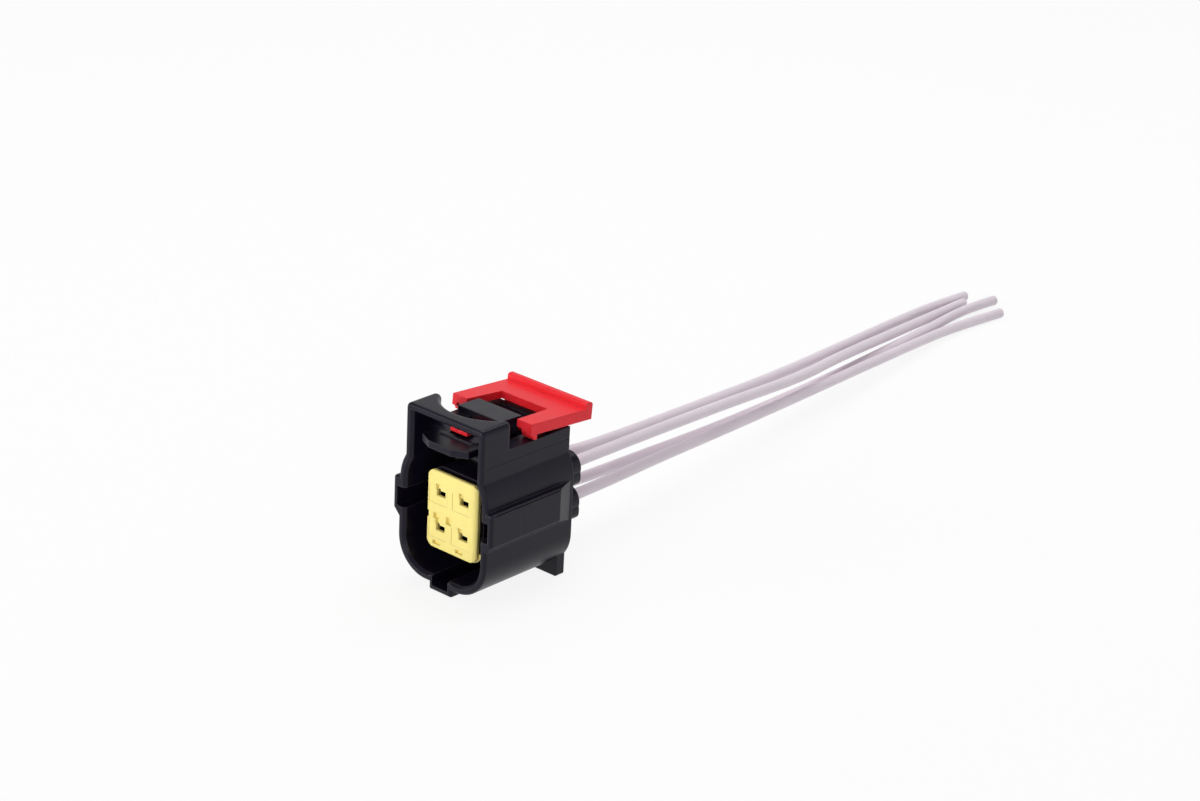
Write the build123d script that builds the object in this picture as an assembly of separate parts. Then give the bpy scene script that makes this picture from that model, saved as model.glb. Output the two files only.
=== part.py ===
from build123d import *
import math
import os

# Sealed four way plug on four loose wires, in millimetres.
# Modelled with y = 0 at the rim of the mouth, +Y towards the wires and z = 0 under the bottom rib.

# Driving dimensions of the moulded shell
wall = 1.4
shell_length = 19.75
body_half_width = 9.55
body_bottom_z = 1.25
bottom_corner_r = 6.15
shoulder_start_z = 17.0
shoulder_r = 8.2
tower_half_width = 8.33
tower_top_z = 30.18
tower_corner_r = 0.9
tower_depth = 6.4
scoop_r = 8.2
scoop_end_r = 1.0
scoop_edge_r = 0.8
scoop_depth_y = 2.65
rim_round = 0.5
rim_lead_in = 0.5
mouth_depth = 12.5
web_thickness = 2.0

# Keys, ribs and foot
rib_rise = 1.2
rib_top_z = 17.0
rib_bottom_z = 11.45
rib_blend_z = 10.2
rib_flat_length = 15.6
rib_rear_sink = 0.25
rib_corner_r = 0.4
rib_groove_depth = 0.25
rib_groove_height = 0.2
rib_groove_z = 16.7
key_wall = 0.82
side_key_height = 3.4
side_key_z = 13.66
bottom_rib_half_width = 2.45
bottom_rib_corner_r = 0.3
bottom_key_half_width = 1.75
foot_half_width = 8.35
foot_depth = 1.65
foot_top_z = 6.0
foot_corner_r = 0.4
parting_z = 23.7
parting_depth = 0.06
parting_height = 0.14

# Deck and latch channel
deck_z = 25.65
deck_bridge_thickness = 1.0
land_half_width = 5.6
land_height = 0.27
land_depth = 1.6
channel_half_width = 5.5
channel_floor_z = 22.4
deck_bridge_depth = 2.85
channel_roof_thickness = 1.2
tower_room_end_y = 7.2

# Cavity block, wire axes and sleeves
pitch_x = 5.0
row_z = (15.25, 9.3)
block_half_width = 5.45
block_bottom_z = 6.0
block_top_z = 19.45
block_corner_r = 1.8
block_front_y = 3.9
contact_room_end_y = 14.0
seal_bore_r = 1.95
sleeve_r = 2.5
sleeve_drop = 3.0
sleeve_corner_r = 1.2
sleeve_reach = 6.85
stiffener_thickness = 1.0

# Lock plate in the mouth
plate_front_y = 2.3
plate_gap = 0.1
plate_round = 0.25
plate_side_round = 1.0
plate_side_inset = 0.15
plate_lid_thickness = 0.6
plate_body_inset = 0.7
plate_relief_half_width = 1.45
plate_relief_below = 1.4
plate_flange = 0.3
plate_flange_depth = 0.5
plate_flange_z = 7.6
plate_travel = 1.5
tab_hole_width = 1.92
tab_hole_height = 1.0
tab_hole_rise = 0.38
recess_depth = 0.06
recess_left = 2.5
recess_right = 1.4
recess_below = 1.9
recess_above = 1.0
probe_slot_width = 0.95
probe_slot_height = 0.95
probe_slot_offset = 1.1
wide_slot_width = 1.4
wide_slot_height = 0.95
slot_depth = 0.5
pocket_place = (-0.7, 11.5)
pocket_size = (1.1, 1.25)
low_slot = (1.55, 0.65)
low_slot_z = 7.0
edge_notch_depth = 0.4
edge_notch_height = 1.2
plate_tongue_half_width = 3.7
plate_tongue_thickness = 0.9
plate_tongue_z = 12.4
plate_tongue_end_y = 10.4
fit_gap = 0.1

# Latch arm, a rocker on two side pins
latch_pin_y = 4.9
latch_pin_z = 25.4
latch_pin_r = 0.8
pin_clearance = 0.05
latch_pin_grip = 0.7
latch_lip_half_width = 5.0
latch_lip_corner_y = 0.35
latch_lip_front_y = -0.9
latch_lip_flat_half_width = 2.4
latch_lip_round = 1.0
latch_lip_bottom_z = 24.6
latch_lip_top_z = 25.75
latch_bar_front_y = 2.6
latch_bar_depth = 0.7
latch_bar_top_z = 26.0
latch_nose_half_width = 3.4
latch_half_width = 4.6
latch_flare_y = 4.4
latch_rail_top_z = 26.5
latch_rail_rise_y = 5.4
latch_rail_bottom_z = 24.9
window_half_width = 2.15
pad_front_y = 7.7
pad_rear_y = 12.4
pad_front_z = 28.62
pad_rear_z = 28.42
pad_underside_z = 27.45

# Red position lock
slide_travel = 3.5
slide_tilt = 4.4
slide_half_width = 8.56
slide_front_gap = 0.7
slide_front_z = 28.6
leg_setback = 0.26
slide_thickness = 1.25
skirt_depth = 1.85
skirt_thickness = 1.0
cutout_front_half_width = 5.5
cutout_rear_half_width = 4.95
cutout_length = 7.5
hook_width = 2.45
hook_length = 1.45
hook_deck_gap = 0.25
hook_round = 0.9
hook_setback = 0.4
ridge_depth = 1.5
crossbar_depth = 1.0
ridge_height = 1.05
ridge_round = 0.5
leg_half_width = 2.0
leg_thickness = 0.9
tongue_half_width = 1.8
tongue_rear_top_z = 26.3
tongue_thickness = 0.9
tongue_tip_y = 3.25
tongue_tip_bottom_z = 26.5
tongue_tip_thickness = 0.6
tongue_step_y = 7.7
tongue_ramp_length = 3.5
tongue_groove_half_width = 0.3
tongue_groove_depth = 0.25
bridge_clearance = 0.15

# Seals
ring_seal_front_y = 9.0
ring_seal_rear_y = 12.4
ring_seal_base = 0.7
ring_seal_lip = 0.45
ring_seal_lips = 3
ring_seal_gap = 0.05
wire_seal_front_y = 18.6
wire_seal_body_y = 20.4
wire_seal_recess = 1.0
wire_seal_neck_r = 1.35
wire_seal_core_r = 1.55
wire_seal_lips = 3
wire_seal_lip_width = 0.8
soft_clearance = 0.05

# Terminals
contact_size = 2.4
contact_clearance = 0.05
contact_sheet = 0.25
contact_front_y = 5.2
contact_length = 8.0
spring_leaf_length = 5.5
wire_crimp_y = (14.4, 16.6)
wire_crimp_wall = 0.3
seal_crimp_y = (18.7, 20.1)
crimp_clearance = 0.02
strip_width = 1.1

# Wires
wire_r = 0.95
conductor_r = 0.5
conductor_clearance = 0.03
conductor_start_y = 14.2
insulation_start_y = 17.6
bend_share = 0.45

wire_routes = {
    "1": [(-2.5, 28.8, 15.25), (-1.1, 42.9, 14.6), (-3.3, 63.4, 12.8), (-8.6, 93.7, 9.0),
          (-16.6, 128.7, 4.6), (-22.6, 160.0, 1.5), (-22.4, 171.9, 0.95)],
    "2": [(2.5, 33.0, 15.25), (1.7, 49.8, 14.6), (-0.8, 72.5, 12.6), (-4.0, 94.9, 9.8),
          (-9.1, 112.7, 7.4), (-15.8, 141.2, 3.4), (-20.3, 168.4, 0.95)],
    "3": [(-2.5, 31.0, 9.3), (-2.0, 49.4, 8.4), (-3.7, 71.2, 6.8), (-7.1, 94.9, 4.8),
          (-11.2, 122.6, 2.9), (-14.6, 147.9, 1.9), (-17.1, 164.6, 1.6), (-17.0, 174.4, 0.95)],
    "4": [(2.5, 33.0, 9.3), (1.5, 49.0, 9.2), (0.5, 63.8, 8.7), (-2.6, 87.8, 7.0),
          (-7.1, 114.1, 4.6), (-11.5, 141.1, 2.2), (-13.3, 155.1, 1.1), (-12.0, 169.6, 0.95)],
}

# Values worked out from the driving dimensions
rib_half_width = body_half_width + rib_rise
channel_end_y = shell_length - deck_bridge_depth
sleeve_end_y = shell_length + sleeve_reach
wire_seal_rear_y = sleeve_end_y - wire_seal_recess
shoulder_centre_x = body_half_width - shoulder_r
shoulder_angle = math.acos((tower_half_width - shoulder_centre_x) / shoulder_r)
shoulder_end_z = shoulder_start_z + shoulder_r * math.sin(shoulder_angle)
room_split_z = channel_floor_z - channel_roof_thickness
plate_rear_y = block_front_y - plate_gap
slide_front_y = tower_depth + slide_travel + slide_front_gap
leg_rear_y = shell_length + slide_travel + bridge_clearance + leg_thickness
slide_length = (leg_rear_y + leg_setback - slide_front_y) / math.cos(math.radians(slide_tilt))
tongue_ramp_y = channel_end_y - tongue_ramp_length
origin_y = (latch_lip_front_y + sleeve_end_y) / 2
contact_room = contact_size + 2 * contact_clearance
cavities = [(x, z) for z in row_z for x in (-pitch_x / 2, pitch_x / 2)]
key_outer_x = rib_half_width - key_wall


def along_y(sketch, y0, y1):
    """Solid of a sketch drawn as (x, z), from y0 to y1."""
    return extrude(Plane.XZ.offset(-y0) * sketch, amount=y0 - y1)


def along_x(sketch, half_width):
    """Solid of a sketch drawn as (y, z), centred on x = 0."""
    return extrude(Plane.YZ * sketch, amount=half_width, both=True)


def block(x0, x1, y0, y1, z0, z1):
    """Plain box between two corners."""
    centre = Pos((x0 + x1) / 2, (y0 + y1) / 2, (z0 + z1) / 2)
    return centre * Box(x1 - x0, y1 - y0, z1 - z0)


def rod_y(x, z, radius, y0, y1):
    """Round rod along Y."""
    return along_y(Pos(x, z) * Circle(radius), y0, y1)


def shell_outline(top_z, top_corner):
    """Front view of the shell: flat base, round lower corners, bulged shoulders, straight tower."""
    half = math.sqrt(0.5)
    corner_x = body_half_width - bottom_corner_r
    corner_z = body_bottom_z + bottom_corner_r
    mid_angle = shoulder_angle / 2
    with BuildSketch() as sketch:
        with BuildLine():
            Line((0, body_bottom_z), (corner_x, body_bottom_z))
            ThreePointArc((corner_x, body_bottom_z),
                          (corner_x + bottom_corner_r * half, corner_z - bottom_corner_r * half),
                          (body_half_width, corner_z))
            Line((body_half_width, corner_z), (body_half_width, shoulder_start_z))
            ThreePointArc((body_half_width, shoulder_start_z),
                          (shoulder_centre_x + shoulder_r * math.cos(mid_angle),
                           shoulder_start_z + shoulder_r * math.sin(mid_angle)),
                          (tower_half_width, shoulder_end_z))
            Line((tower_half_width, shoulder_end_z), (tower_half_width, top_z))
            Line((tower_half_width, top_z), (0, top_z))
            mirror(about=Plane.YZ)
        make_face()
        if top_corner:
            fillet(sketch.vertices().group_by(Axis.Y)[-1], top_corner)
    return sketch.sketch


def rib_sketch():
    """Front view of the raised panel on the right side, with its lower blend."""
    with BuildSketch() as sketch:
        with BuildLine():
            Polyline((body_half_width - wall / 2, rib_top_z), (rib_half_width, rib_top_z),
                     (rib_half_width, rib_bottom_z), (body_half_width, rib_blend_z),
                     (body_half_width - wall / 2, rib_blend_z), close=True)
        make_face()
        fillet(sketch.vertices().group_by(Axis.X)[-1], rib_corner_r)
    return sketch.sketch


def sleeve_sketch(z):
    """Rear view of one row of sleeves: two round tops on a squarer base."""
    with BuildSketch() as sketch:
        for x in (-pitch_x / 2, pitch_x / 2):
            with Locations((x, z)):
                Circle(sleeve_r)
        with Locations((0, z - sleeve_drop / 2)):
            RectangleRounded(pitch_x + 2 * sleeve_r, sleeve_drop, sleeve_corner_r)
        with Locations((0, z)):
            Rectangle(pitch_x, sleeve_r)
    return sketch.sketch


def block_sketch(grow=0.0):
    """Front view of the cavity block and of the lock plate on it."""
    middle = Pos(0, (block_bottom_z + block_top_z) / 2)
    return middle * RectangleRounded(2 * (block_half_width + grow), block_top_z - block_bottom_z + 2 * grow,
                                     block_corner_r + grow)


def make_shell():
    """Outer shell with its tower, its mouth and the rounded rim."""
    tower_outline = shell_outline(tower_top_z, tower_corner_r)
    room = offset(tower_outline, -wall)
    shell = along_y(shell_outline(deck_z, 0), 0, shell_length) + along_y(tower_outline, 0, tower_depth)
    shell -= along_y(room, 0, tower_room_end_y)
    low_room = room & (Pos(0, room_split_z / 2) * Rectangle(4 * body_half_width, room_split_z))
    shell -= along_y(low_room, 0, mouth_depth)
    front = shell.faces().sort_by(Axis.Y)[0]
    shell = chamfer(front.inner_wires()[0].edges(), rim_lead_in)
    ribs = along_y(rib_sketch(), 0, shell_length)
    bevel = make_face(Polyline((rib_half_width + 1, rib_flat_length), (rib_half_width, rib_flat_length),
                               (body_half_width - rib_rear_sink, shell_length),
                               (body_half_width - rib_rear_sink, shell_length + 1),
                               (rib_half_width + 1, shell_length + 1), close=True))
    ribs -= extrude(bevel, amount=tower_top_z)
    shell += ribs + mirror(ribs, about=Plane.YZ)
    base_rib = Pos(0, body_bottom_z) * Rectangle(2 * bottom_rib_half_width, 2 * body_bottom_z)
    base_rib = fillet(base_rib.vertices(), bottom_rib_corner_r)
    shell += along_y(base_rib, 0, shell_length)
    front = shell.faces().sort_by(Axis.Y)[0]
    shell = fillet(front.outer_wire().edges(), rim_round)
    return shell, low_room


def make_housing():
    """Moulded housing: shell, keys, foot, deck, cavity block and sleeves as one piece."""
    shell, low_room = make_shell()
    roof = Rectangle(4 * tower_half_width, 2 * tower_depth) - Pos(0, scoop_depth_y + scoop_r) * Circle(scoop_r)
    scoop_ends = roof.vertices().filter_by(lambda v: v.Y > tower_depth - 0.01 and abs(v.X) < tower_half_width)
    roof = fillet(scoop_ends, scoop_end_r)
    behind = Pos(0, shell_length / 2) * Rectangle(4 * tower_half_width, shell_length) - roof
    shell -= Pos(0, 0, deck_z) * extrude(behind, tower_top_z)
    roof_edges = shell.edges().filter_by(lambda e: abs(e.center().Z - tower_top_z) < 0.01
                                         and e.center().Y > scoop_depth_y - 0.01
                                         and abs(e.center().X) < tower_half_width - tower_corner_r)
    shell = fillet(roof_edges, scoop_edge_r)
    foot = Pos(0, foot_top_z / 2) * Rectangle(2 * foot_half_width, foot_top_z)
    foot = fillet(foot.vertices().group_by(Axis.Y)[0], foot_corner_r)
    shell += along_y(foot, shell_length - foot_depth, shell_length)
    for side in (-1, 1):
        key = block(0, key_outer_x, 0, mouth_depth, side_key_z - side_key_height / 2,
                    side_key_z + side_key_height / 2)
        shell -= key if side > 0 else mirror(key, about=Plane.YZ)
    shell -= block(-bottom_key_half_width, bottom_key_half_width, 0, mouth_depth, key_wall,
                   body_bottom_z + 2 * wall)
    shell -= block(-channel_half_width, channel_half_width, tower_depth, channel_end_y,
                   channel_floor_z, tower_top_z)
    for side in (-1, 1):
        shell -= block(side * tower_half_width - parting_depth, side * tower_half_width + parting_depth, 0,
                       shell_length, parting_z - parting_height / 2, parting_z + parting_height / 2)
        groove_x = side * rib_half_width
        shell -= block(groove_x - rib_groove_depth, groove_x + rib_groove_depth, rim_round, rib_flat_length,
                       rib_groove_z - rib_groove_height / 2, rib_groove_z + rib_groove_height / 2)
    land = block(-land_half_width, land_half_width, shell_length - land_depth, shell_length, deck_z - wall / 2,
                 deck_z + land_height)
    shell += chamfer(land.edges().filter_by(Axis.X).group_by(Axis.Z)[-1].sort_by(Axis.Y)[0], land_height / 2)
    slot_top_z = deck_z - deck_bridge_thickness
    slot_bottom_z = slot_top_z - tongue_thickness - 2 * bridge_clearance
    shell -= block(-leg_half_width - fit_gap, leg_half_width + fit_gap, channel_end_y - 1, shell_length + 1,
                   slot_bottom_z, slot_top_z)
    sleeves = sleeve_sketch(row_z[0]) + sleeve_sketch(row_z[1])
    bars = Rectangle(stiffener_thickness, 4 * tower_top_z)
    bars += Pos(0, row_z[1] + sleeve_r) * Rectangle(4 * body_half_width, stiffener_thickness)
    shell -= along_y(low_room - sleeves - bars, mouth_depth + web_thickness, shell_length + 1)
    shell += along_y(block_sketch(), block_front_y, mouth_depth)
    shell += along_y(sleeves, mouth_depth, sleeve_end_y)
    for x, z in cavities:
        shell -= block(x - contact_room / 2, x + contact_room / 2, block_front_y - 1, contact_room_end_y,
                       z - contact_room / 2, z + contact_room / 2)
        shell -= rod_y(x, z, seal_bore_r, contact_room_end_y, sleeve_end_y + 1)
    shell -= block(-plate_tongue_half_width - fit_gap, plate_tongue_half_width + fit_gap, block_front_y - 1,
                   plate_tongue_end_y + fit_gap, plate_tongue_z - plate_tongue_thickness / 2 - fit_gap,
                   plate_tongue_z + plate_tongue_thickness / 2 + fit_gap)
    pin_reach = tower_half_width - wall + latch_pin_grip + fit_gap
    shell -= Pos(0, latch_pin_y, latch_pin_z) * Rot(0, 90, 0) * Cylinder(latch_pin_r + pin_clearance,
                                                                         2 * pin_reach)
    return shell


def plate_lid():
    """Front of the lock plate: small rounding above and below and on the left, a large one on the right."""
    depth = plate_rear_y - plate_front_y
    right_x = block_half_width - plate_side_inset
    top = Pos((right_x - block_half_width) / 2, plate_front_y + depth / 2)
    top *= Rectangle(right_x + block_half_width, depth)
    corners = top.vertices().group_by(Axis.Y)[0].sort_by(Axis.X)
    top = fillet(corners[-1], plate_side_round)
    top = fillet(top.vertices().group_by(Axis.Y)[0].sort_by(Axis.X)[0], plate_round)
    height = block_top_z - plate_side_inset - block_bottom_z
    side = Pos(plate_front_y + depth / 2, block_bottom_z + height / 2) * Rectangle(depth, height)
    side = fillet(side.vertices().group_by(Axis.X)[0], plate_round)
    lid = along_y(block_sketch(), plate_front_y, plate_front_y + plate_lid_thickness)
    return lid & extrude(top, amount=tower_top_z) & along_x(side, block_half_width)


def make_lock_plate():
    """Lock plate over the four contacts: a lid with tab holes and slots, a body behind it and a tongue."""
    lid_rear_y = plate_front_y + plate_lid_thickness
    plate = plate_lid()
    plate += along_y(block_sketch(-plate_body_inset), lid_rear_y, plate_rear_y)
    flange = block_sketch(plate_flange) & (Pos(0, plate_flange_z / 2) * Rectangle(4 * block_half_width,
                                                                                  plate_flange_z))
    plate += along_y(flange, plate_rear_y - plate_flange_depth, plate_rear_y)
    plate += block(-plate_tongue_half_width, plate_tongue_half_width, plate_rear_y - plate_flange_depth,
                   plate_tongue_end_y, plate_tongue_z - plate_tongue_thickness / 2,
                   plate_tongue_z + plate_tongue_thickness / 2)
    front = plate_front_y - 1
    for x, z in cavities:
        hole_z = z + tab_hole_rise
        plate -= block(x - recess_left, x + recess_right, front, plate_front_y + recess_depth,
                       hole_z - recess_below, hole_z + recess_above)
        plate -= block(x - tab_hole_width / 2, x + tab_hole_width / 2, front, plate_rear_y + 1,
                       hole_z - tab_hole_height / 2, hole_z + tab_hole_height / 2)
        plate -= block(x - plate_relief_half_width, x + plate_relief_half_width, lid_rear_y, plate_rear_y + 1,
                       hole_z - plate_relief_below, hole_z + tab_hole_height / 2)
        slot_x = x - probe_slot_offset
        slot_z = hole_z + tab_hole_height / 2
        plate -= block(slot_x, slot_x + probe_slot_width, front, plate_front_y + slot_depth,
                       slot_z, slot_z + probe_slot_height)
        low_x = x - low_slot[0]
        if z == row_z[1]:
            plate -= block(low_x, x, front, plate_front_y + slot_depth, low_slot_z - low_slot[1] / 2,
                           low_slot_z + low_slot[1] / 2)
    wide_x, wide_z = cavities[2]
    wide_x += probe_slot_width - probe_slot_offset
    wide_z += tab_hole_rise + tab_hole_height / 2 + probe_slot_height
    plate -= block(wide_x - wide_slot_width, wide_x, front, plate_front_y + slot_depth, wide_z,
                   wide_z + wide_slot_height)
    pocket_x, pocket_z = pocket_place
    plate -= block(pocket_x - pocket_size[0] / 2, pocket_x + pocket_size[0] / 2, front,
                   plate_front_y + slot_depth, pocket_z - pocket_size[1] / 2, pocket_z + pocket_size[1] / 2)
    plate -= block(-2 * block_half_width, edge_notch_depth - block_half_width, front, plate_rear_y,
                   pocket_z - edge_notch_height / 2, pocket_z + edge_notch_height / 2)
    return plate


def make_latch_arm():
    """Rocking latch: bowed lip, window, two rails, thumb pad and side pins."""
    lip = make_face(Polyline((latch_lip_half_width, latch_lip_corner_y),
                             (latch_lip_half_width, latch_bar_front_y + latch_bar_depth),
                             (-latch_lip_half_width, latch_bar_front_y + latch_bar_depth),
                             (-latch_lip_half_width, latch_lip_corner_y),
                             (-latch_lip_flat_half_width, latch_lip_front_y),
                             (latch_lip_flat_half_width, latch_lip_front_y), close=True))
    lip = fillet(lip.vertices().group_by(Axis.Y)[0], latch_lip_round)
    arm = Pos(0, 0, latch_lip_bottom_z) * extrude(lip, latch_lip_top_z - latch_lip_bottom_z)
    arm += block(-latch_nose_half_width, latch_nose_half_width, latch_bar_front_y,
                 latch_bar_front_y + latch_bar_depth, latch_lip_bottom_z, latch_bar_top_z)
    side = make_face(Polyline((latch_bar_front_y, latch_rail_bottom_z), (latch_bar_front_y, latch_bar_top_z),
                              (latch_bar_front_y + latch_bar_depth, latch_bar_top_z),
                              (latch_rail_rise_y, latch_rail_top_z), (pad_front_y - 1.2, latch_rail_top_z),
                              (pad_front_y, pad_underside_z),
                              (pad_front_y, pad_front_z), (pad_rear_y, pad_rear_z),
                              (pad_rear_y, latch_rail_top_z), (pad_front_y, latch_rail_bottom_z), close=True))
    rails = along_x(side, latch_half_width)
    flare = latch_flare_y - (latch_half_width - latch_nose_half_width)
    for sign in (-1, 1):
        cut = make_face(Polyline((sign * latch_nose_half_width, 0), (sign * latch_nose_half_width, flare),
                                 (sign * latch_half_width, latch_flare_y), (sign * latch_half_width * 2,
                                                                            latch_flare_y),
                                 (sign * latch_half_width * 2, 0), close=True))
        rails -= Pos(0, 0, latch_lip_top_z) * extrude(cut, tower_top_z)
    rails -= block(-window_half_width, window_half_width, latch_bar_front_y, pad_rear_y + 1,
                   latch_rail_bottom_z - 1, pad_underside_z)
    rails -= block(-window_half_width, window_half_width, latch_bar_front_y, pad_front_y, latch_rail_bottom_z,
                   tower_top_z)
    arm += rails
    arm -= block(-window_half_width, window_half_width, latch_bar_front_y + latch_bar_depth, pad_front_y,
                 latch_lip_bottom_z - 1, tower_top_z)
    arm += block(-latch_nose_half_width, latch_nose_half_width, latch_bar_front_y,
                 latch_bar_front_y + latch_bar_depth, latch_lip_bottom_z, latch_bar_top_z)
    reach = tower_half_width - wall + latch_pin_grip
    pins = Pos(0, latch_pin_y, latch_pin_z) * Rot(0, 90, 0) * Cylinder(latch_pin_r, 2 * reach)
    pins -= block(-window_half_width, window_half_width, 0, pad_rear_y, 0, tower_top_z)
    return arm + pins


def make_lock_slide():
    """Red lock: tilted U plate with hooks, rear ridge, and a leg that carries the long tongue."""
    plate = block(-slide_half_width, slide_half_width, 0, slide_length, -skirt_depth, 0)
    plate -= block(skirt_thickness - slide_half_width, slide_half_width - skirt_thickness, -1,
                   slide_length + 1, -skirt_depth, -slide_thickness)
    cutout = make_face(Polyline((-cutout_front_half_width, -1), (cutout_front_half_width, -1),
                                (cutout_rear_half_width, cutout_length),
                                (-cutout_rear_half_width, cutout_length), close=True))
    plate -= Pos(0, 0, -2 * skirt_depth) * extrude(cutout, 4 * skirt_depth)
    plate += block(-slide_half_width, slide_half_width, slide_length - crossbar_depth, slide_length,
                   -skirt_depth, -slide_thickness)
    hook_drop = slide_front_z - deck_z - hook_deck_gap
    hook = make_face(Polyline((hook_setback, 0), (hook_setback, hook_round - hook_drop),
                              (hook_setback + hook_round / 2, -hook_drop), (hook_length, -hook_drop),
                              (hook_length, 0), close=True))
    for x in (hook_width / 2 - slide_half_width, slide_half_width - hook_width / 2):
        plate += Pos(x, 0, 0) * along_x(hook, hook_width / 2)
    ridge = Pos(slide_length - ridge_depth / 2, ridge_height / 2) * Rectangle(ridge_depth, ridge_height)
    ridge = fillet(ridge.vertices().group_by(Axis.Y)[-1], ridge_round)
    plate += along_x(ridge, slide_half_width)
    slide = Pos(0, slide_front_y, slide_front_z) * Rot(-slide_tilt, 0, 0) * plate
    tongue_low_top_z = deck_z - deck_bridge_thickness - bridge_clearance
    tongue_low_bottom_z = tongue_low_top_z - tongue_thickness
    ramp_end_y = channel_end_y - bridge_clearance
    leg_top_z = slide_front_z - slide_thickness - (leg_rear_y - slide_front_y) * math.tan(
        math.radians(slide_tilt))
    leg = block(-leg_half_width, leg_half_width, leg_rear_y - leg_thickness, leg_rear_y,
                tongue_low_bottom_z, leg_top_z + slide_thickness / 2)
    low = block(-leg_half_width, leg_half_width, ramp_end_y, leg_rear_y, tongue_low_bottom_z, tongue_low_top_z)
    rear_bottom_z = tongue_rear_top_z - tongue_thickness
    tip_top_z = tongue_tip_bottom_z + tongue_tip_thickness
    side = make_face(Polyline((ramp_end_y, tongue_low_bottom_z), (ramp_end_y, tongue_low_top_z),
                              (tongue_ramp_y, tongue_rear_top_z), (tongue_step_y + hook_round / 2,
                                                                   tongue_rear_top_z),
                              (tongue_step_y + hook_round / 2, tip_top_z), (tongue_tip_y, tip_top_z),
                              (tongue_tip_y, tongue_tip_bottom_z), (tongue_step_y - hook_round,
                                                                    tongue_tip_bottom_z),
                              (tongue_step_y - hook_round / 2, rear_bottom_z),
                              (tongue_ramp_y - hook_round, rear_bottom_z), close=True))
    tongue = along_x(side, tongue_half_width)
    tongue -= block(-tongue_groove_half_width, tongue_groove_half_width, tongue_tip_y - 1, tongue_step_y,
                    tip_top_z - tongue_groove_depth, tower_top_z)
    return slide + leg + low + tongue


def make_ring_seal():
    """Seal band round the cavity block, with lips all round."""
    inner = block_sketch(ring_seal_gap)
    band = along_y(block_sketch(ring_seal_gap + ring_seal_base) - inner, ring_seal_front_y, ring_seal_rear_y)
    pitch = (ring_seal_rear_y - ring_seal_front_y) / ring_seal_lips
    lip_sketch = block_sketch(ring_seal_gap + ring_seal_base + ring_seal_lip) - inner
    for number in range(ring_seal_lips):
        middle = ring_seal_front_y + pitch * (number + 0.5)
        band += along_y(lip_sketch, middle - pitch / 4, middle + pitch / 4)
    return band


def make_wire_seal(x, z):
    """Single wire seal: neck, core and round lips, bored for the wire."""
    bore_r = wire_r + soft_clearance
    seal = rod_y(x, z, wire_seal_neck_r, wire_seal_front_y, wire_seal_body_y)
    seal += rod_y(x, z, wire_seal_core_r, wire_seal_body_y, wire_seal_rear_y)
    pitch = (wire_seal_rear_y - wire_seal_body_y) / wire_seal_lips
    for number in range(wire_seal_lips):
        middle = wire_seal_body_y + pitch * (number + 0.5)
        seal += rod_y(x, z, seal_bore_r - soft_clearance, middle - wire_seal_lip_width / 2,
                      middle + wire_seal_lip_width / 2)
    return seal - rod_y(x, z, bore_r, wire_seal_front_y - 1, wire_seal_rear_y + 1)


def make_terminal(x, z):
    """Sheet metal contact: hollow box with a spring leaf, wire crimp and seal crimp on one strip."""
    half = contact_size / 2
    box_end_y = contact_front_y + contact_length
    contact = block(x - half, x + half, contact_front_y, box_end_y, z - half, z + half)
    inner = half - contact_sheet
    contact -= block(x - inner, x + inner, contact_front_y - 1, box_end_y + 1, z - inner, z + inner)
    leaf = make_face(Polyline((contact_front_y + contact_sheet, -inner), (box_end_y - 1, -inner),
                              (contact_front_y + spring_leaf_length / 2, -inner + 3 * contact_sheet),
                              close=True))
    leaf = Pos(x, 0, z) * along_x(leaf, inner * 0.6)
    crimp_r = conductor_r + crimp_clearance
    wire_crimp = rod_y(x, z, crimp_r + wire_crimp_wall, *wire_crimp_y)
    wire_crimp -= rod_y(x, z, crimp_r, wire_crimp_y[0] - 1, wire_crimp_y[1] + 1)
    grip_r = wire_seal_neck_r + crimp_clearance
    seal_crimp = rod_y(x, z, grip_r + contact_sheet, *seal_crimp_y) - rod_y(x, z, grip_r, 0, sleeve_end_y)
    low_z = -half
    side = make_face(Polyline((box_end_y - 1, low_z), (wire_crimp_y[0], -crimp_r - wire_crimp_wall),
                              (wire_crimp_y[1], -crimp_r - wire_crimp_wall),
                              (seal_crimp_y[0], -grip_r - contact_sheet), (seal_crimp_y[1],
                                                                           -grip_r - contact_sheet),
                              (seal_crimp_y[1], -grip_r - contact_sheet / 2),
                              (seal_crimp_y[0], -grip_r - contact_sheet / 2),
                              (wire_crimp_y[1], -crimp_r - wire_crimp_wall / 2),
                              (wire_crimp_y[0], -crimp_r - wire_crimp_wall / 2),
                              (box_end_y - 1, low_z + contact_sheet), close=True))
    strip = Pos(x, 0, z) * along_x(side, strip_width / 2)
    return contact + leaf + strip + wire_crimp + seal_crimp


def bend_radii(points):
    """Radius at each corner of a route, as large as its two straight runs allow."""
    radii = []
    for before, corner, after in zip(points, points[1:], points[2:]):
        run_in = Vector(*corner) - Vector(*before)
        run_out = Vector(*after) - Vector(*corner)
        half_turn = math.radians(run_in.get_angle(run_out)) / 2
        radii.append(bend_share * min(run_in.length, run_out.length) / math.tan(half_turn))
    return radii


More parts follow.
